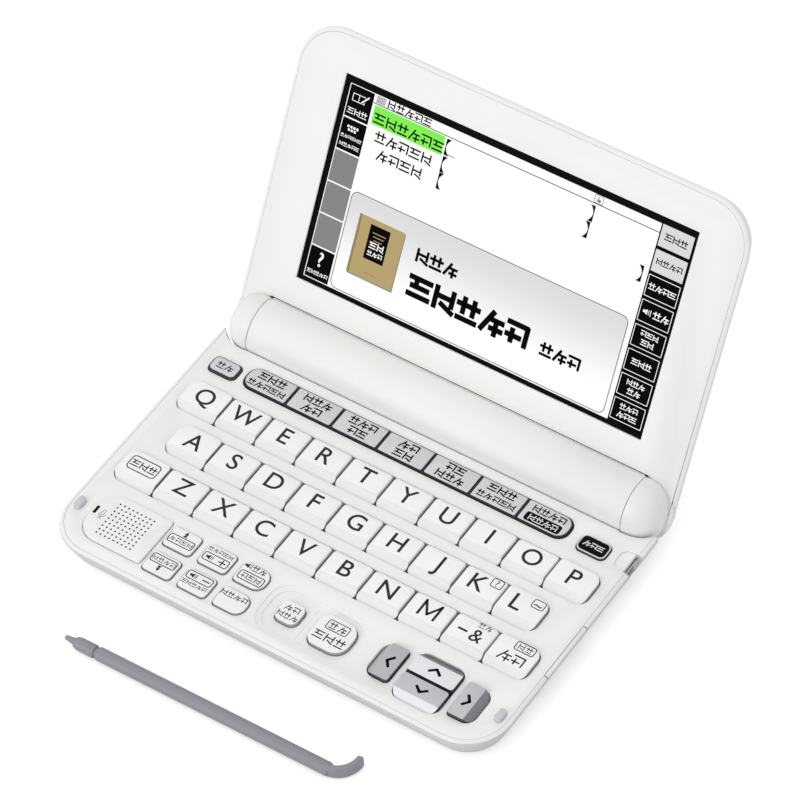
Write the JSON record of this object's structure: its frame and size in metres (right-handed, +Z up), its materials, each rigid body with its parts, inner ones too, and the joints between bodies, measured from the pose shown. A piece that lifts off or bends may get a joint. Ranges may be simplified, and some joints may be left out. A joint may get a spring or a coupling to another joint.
{
  "type": "electronic dictionary",
  "caption": "Clamshell handheld with a wide display in the lid, a full letter keyboard, a round battery barrel as its hinge, and a loose touch pen.",
  "frame": {"origin": "centre of the overall box's underside, on the table", "axes": "+X to the right, +Y from the front edge to the hinge, +Z up"},
  "size_m": [0.148, 0.169, 0.0925],
  "materials": {
    "case_white": "fine satin",
    "deck_white": "satin moulded white",
    "barrel_pearl": "pearl white with a fine texture",
    "lid_white": "gloss moulded white",
    "key_white": "satin key cap",
    "strip_silver": "silver painted key top",
    "arrow_silver": "silver painted key top",
    "key_black": "gloss black",
    "cell_jacket": "printed jacket",
    "contact_nickel": "nickel plate",
    "board_green": "solder mask",
    "sheet_rubber": "translucent silicone",
    "speaker_grey": "dark grey",
    "pad_rubber": "soft grey",
    "screw_steel": "zinc plated",
    "panel_black": "gloss panel with a black border",
    "display_glass": "lit display",
    "pin_steel": "turned",
    "pen_grey": "satin grey"
  },
  "bodies": {
    "base": {"lower_case": "case_white", "upper_case": "deck_white", "speaker_grille": "deck_white", "hinge_barrel": "barrel_pearl", "battery_cells": "cell_jacket", "battery_contacts": "contact_nickel", "main_board": "board_green", "key_sheet": "sheet_rubber", "speaker": "speaker_grey", "rubber_pads": "pad_rubber", "case_screws": "screw_steel", "hinge_pins": "pin_steel"},
    "lid": {"lid_back_cover": "lid_white", "lid_bezel": "deck_white", "touch_panel": "panel_black", "lcd_panel": "display_glass"},
    "battery_cover": {"battery_cover": "barrel_pearl"},
    "card_cover": {"card_cover": "case_white"},
    "stylus": {"stylus": "pen_grey"},
    "key_q": {"key_q": "key_white"},
    "key_w": {"key_w": "key_white"},
    "key_e": {"key_e": "key_white"},
    "key_r": {"key_r": "key_white"},
    "key_t": {"key_t": "key_white"},
    "key_y": {"key_y": "key_white"},
    "key_u": {"key_u": "key_white"},
    "key_i": {"key_i": "key_white"},
    "key_o": {"key_o": "key_white"},
    "key_p": {"key_p": "key_white"},
    "key_a": {"key_a": "key_white"},
    "key_s": {"key_s": "key_white"},
    "key_d": {"key_d": "key_white"},
    "key_f": {"key_f": "key_white"},
    "key_g": {"key_g": "key_white"},
    "key_h": {"key_h": "key_white"},
    "key_j": {"key_j": "key_white"},
    "key_k": {"key_k": "key_white"},
    "key_l": {"key_l": "key_white"},
    "key_shift": {"key_shift": "key_white"},
    "key_z": {"key_z": "key_white"},
    "key_x": {"key_x": "key_white"},
    "key_c": {"key_c": "key_white"},
    "key_v": {"key_v": "key_white"},
    "key_b": {"key_b": "key_white"},
    "key_n": {"key_n": "key_white"},
    "key_m": {"key_m": "key_white"},
    "key_hyphen": {"key_hyphen": "key_white"},
    "key_delete": {"key_delete": "key_white"},
    "function_keys": {"function_keys": "strip_silver"},
    "power_key": {"power_key": "strip_silver"},
    "home_key": {"home_key": "key_black"},
    "page_keys": {"page_keys": "key_white"},
    "volume_keys": {"volume_keys": "key_white"},
    "guide_keys": {"guide_keys": "key_white"},
    "back_key": {"back_key": "key_white"},
    "enter_key": {"enter_key": "key_white"},
    "arrow_left": {"arrow_left": "arrow_silver"},
    "arrow_right": {"arrow_right": "arrow_silver"},
    "arrow_up": {"arrow_up": "arrow_silver"},
    "arrow_down": {"arrow_down": "arrow_silver"}
  },
  "joints": [
    {"name": "lid_hinge", "type": "hinge", "parent": "base", "child": "lid", "pos_m": [0, 0.03395, 0.0102], "axis": [-1, 0, 0], "range_deg": [-118.87, 21]},
    {"name": "battery_cover_slide", "type": "slide", "parent": "base", "child": "battery_cover", "axis": [0, 1, 0], "range_m": [0, 0.014]},
    {"name": "card_cover_hinge", "type": "hinge", "parent": "base", "child": "card_cover", "pos_m": [0.07, -0.01875, 0.0034], "axis": [0, 1, 0], "range_deg": [0, 75]},
    {"name": "stylus_lift", "type": "slide", "parent": "base", "child": "stylus", "axis": [0, 0, 1], "range_m": [0, 0.1]},
    {"name": "key_q_press", "type": "slide", "parent": "base", "child": "key_q", "axis": [0, 0, -1], "range_m": [0, 0.001], "stiffness_N_per_m": 300, "springref_m": -0.0005},
    {"name": "key_w_press", "type": "slide", "parent": "base", "child": "key_w", "axis": [0, 0, -1], "range_m": [0, 0.001], "stiffness_N_per_m": 300, "springref_m": -0.0005},
    {"name": "key_e_press", "type": "slide", "parent": "base", "child": "key_e", "axis": [0, 0, -1], "range_m": [0, 0.001], "stiffness_N_per_m": 300, "springref_m": -0.0005},
    {"name": "key_r_press", "type": "slide", "parent": "base", "child": "key_r", "axis": [0, 0, -1], "range_m": [0, 0.001], "stiffness_N_per_m": 300, "springref_m": -0.0005},
    {"name": "key_t_press", "type": "slide", "parent": "base", "child": "key_t", "axis": [0, 0, -1], "range_m": [0, 0.001], "stiffness_N_per_m": 300, "springref_m": -0.0005},
    {"name": "key_y_press", "type": "slide", "parent": "base", "child": "key_y", "axis": [0, 0, -1], "range_m": [0, 0.001], "stiffness_N_per_m": 300, "springref_m": -0.0005},
    {"name": "key_u_press", "type": "slide", "parent": "base", "child": "key_u", "axis": [0, 0, -1], "range_m": [0, 0.001], "stiffness_N_per_m": 300, "springref_m": -0.0005},
    {"name": "key_i_press", "type": "slide", "parent": "base", "child": "key_i", "axis": [0, 0, -1], "range_m": [0, 0.001], "stiffness_N_per_m": 300, "springref_m": -0.0005},
    {"name": "key_o_press", "type": "slide", "parent": "base", "child": "key_o", "axis": [0, 0, -1], "range_m": [0, 0.001], "stiffness_N_per_m": 300, "springref_m": -0.0005},
    {"name": "key_p_press", "type": "slide", "parent": "base", "child": "key_p", "axis": [0, 0, -1], "range_m": [0, 0.001], "stiffness_N_per_m": 300, "springref_m": -0.0005},
    {"name": "key_a_press", "type": "slide", "parent": "base", "child": "key_a", "axis": [0, 0, -1], "range_m": [0, 0.001], "stiffness_N_per_m": 300, "springref_m": -0.0005},
    {"name": "key_s_press", "type": "slide", "parent": "base", "child": "key_s", "axis": [0, 0, -1], "range_m": [0, 0.001], "stiffness_N_per_m": 300, "springref_m": -0.0005},
    {"name": "key_d_press", "type": "slide", "parent": "base", "child": "key_d", "axis": [0, 0, -1], "range_m": [0, 0.001], "stiffness_N_per_m": 300, "springref_m": -0.0005},
    {"name": "key_f_press", "type": "slide", "parent": "base", "child": "key_f", "axis": [0, 0, -1], "range_m": [0, 0.001], "stiffness_N_per_m": 300, "springref_m": -0.0005},
    {"name": "key_g_press", "type": "slide", "parent": "base", "child": "key_g", "axis": [0, 0, -1], "range_m": [0, 0.001], "stiffness_N_per_m": 300, "springref_m": -0.0005},
    {"name": "key_h_press", "type": "slide", "parent": "base", "child": "key_h", "axis": [0, 0, -1], "range_m": [0, 0.001], "stiffness_N_per_m": 300, "springref_m": -0.0005},
    {"name": "key_j_press", "type": "slide", "parent": "base", "child": "key_j", "axis": [0, 0, -1], "range_m": [0, 0.001], "stiffness_N_per_m": 300, "springref_m": -0.0005},
    {"name": "key_k_press", "type": "slide", "parent": "base", "child": "key_k", "axis": [0, 0, -1], "range_m": [0, 0.001], "stiffness_N_per_m": 300, "springref_m": -0.0005},
    {"name": "key_l_press", "type": "slide", "parent": "base", "child": "key_l", "axis": [0, 0, -1], "range_m": [0, 0.001], "stiffness_N_per_m": 300, "springref_m": -0.0005},
    {"name": "key_shift_press", "type": "slide", "parent": "base", "child": "key_shift", "axis": [0, 0, -1], "range_m": [0, 0.001], "stiffness_N_per_m": 300, "springref_m": -0.0005},
    {"name": "key_z_press", "type": "slide", "parent": "base", "child": "key_z", "axis": [0, 0, -1], "range_m": [0, 0.001], "stiffness_N_per_m": 300, "springref_m": -0.0005},
    {"name": "key_x_press", "type": "slide", "parent": "base", "child": "key_x", "axis": [0, 0, -1], "range_m": [0, 0.001], "stiffness_N_per_m": 300, "springref_m": -0.0005},
    {"name": "key_c_press", "type": "slide", "parent": "base", "child": "key_c", "axis": [0, 0, -1], "range_m": [0, 0.001], "stiffness_N_per_m": 300, "springref_m": -0.0005},
    {"name": "key_v_press", "type": "slide", "parent": "base", "child": "key_v", "axis": [0, 0, -1], "range_m": [0, 0.001], "stiffness_N_per_m": 300, "springref_m": -0.0005},
    {"name": "key_b_press", "type": "slide", "parent": "base", "child": "key_b", "axis": [0, 0, -1], "range_m": [0, 0.001], "stiffness_N_per_m": 300, "springref_m": -0.0005},
    {"name": "key_n_press", "type": "slide", "parent": "base", "child": "key_n", "axis": [0, 0, -1], "range_m": [0, 0.001], "stiffness_N_per_m": 300, "springref_m": -0.0005},
    {"name": "key_m_press", "type": "slide", "parent": "base", "child": "key_m", "axis": [0, 0, -1], "range_m": [0, 0.001], "stiffness_N_per_m": 300, "springref_m": -0.0005},
    {"name": "key_hyphen_press", "type": "slide", "parent": "base", "child": "key_hyphen", "axis": [0, 0, -1], "range_m": [0, 0.001], "stiffness_N_per_m": 300, "springref_m": -0.0005},
    {"name": "key_delete_press", "type": "slide", "parent": "base", "child": "key_delete", "axis": [0, 0, -1], "range_m": [0, 0.001], "stiffness_N_per_m": 300, "springref_m": -0.0005},
    {"name": "page_keys_press", "type": "slide", "parent": "base", "child": "page_keys", "axis": [0, 0, -1], "range_m": [0, 0.001], "stiffness_N_per_m": 300, "springref_m": -0.0005},
    {"name": "volume_keys_press", "type": "slide", "parent": "base", "child": "volume_keys", "axis": [0, 0, -1], "range_m": [0, 0.001], "stiffness_N_per_m": 300, "springref_m": -0.0005},
    {"name": "guide_keys_press", "type": "slide", "parent": "base", "child": "guide_keys", "axis": [0, 0, -1], "range_m": [0, 0.001], "stiffness_N_per_m": 300, "springref_m": -0.0005},
    {"name": "back_key_press", "type": "slide", "parent": "base", "child": "back_key", "axis": [0, 0, -1], "range_m": [0, 0.001], "stiffness_N_per_m": 300, "springref_m": -0.0005},
    {"name": "enter_key_press", "type": "slide", "parent": "base", "child": "enter_key", "axis": [0, 0, -1], "range_m": [0, 0.001], "stiffness_N_per_m": 300, "springref_m": -0.0005},
    {"name": "arrow_left_press", "type": "slide", "parent": "base", "child": "arrow_left", "axis": [0, 0, -1], "range_m": [0, 0.001], "stiffness_N_per_m": 300, "springref_m": -0.0005},
    {"name": "arrow_right_press", "type": "slide", "parent": "base", "child": "arrow_right", "axis": [0, 0, -1], "range_m": [0, 0.001], "stiffness_N_per_m": 300, "springref_m": -0.0005},
    {"name": "arrow_up_press", "type": "slide", "parent": "base", "child": "arrow_up", "axis": [0, 0, -1], "range_m": [0, 0.001], "stiffness_N_per_m": 300, "springref_m": -0.0005},
    {"name": "arrow_down_press", "type": "slide", "parent": "base", "child": "arrow_down", "axis": [0, 0, -1], "range_m": [0, 0.001], "stiffness_N_per_m": 300, "springref_m": -0.0005},
    {"name": "function_keys_press", "type": "slide", "parent": "base", "child": "function_keys", "axis": [0, 0, -1], "range_m": [0, 0.0006], "stiffness_N_per_m": 300, "springref_m": -0.0005},
    {"name": "power_key_press", "type": "slide", "parent": "base", "child": "power_key", "axis": [0, 0, -1], "range_m": [0, 0.0006], "stiffness_N_per_m": 300, "springref_m": -0.0005},
    {"name": "home_key_press", "type": "slide", "parent": "base", "child": "home_key", "axis": [0, 0, -1], "range_m": [0, 0.0006], "stiffness_N_per_m": 300, "springref_m": -0.0005}
  ]
}
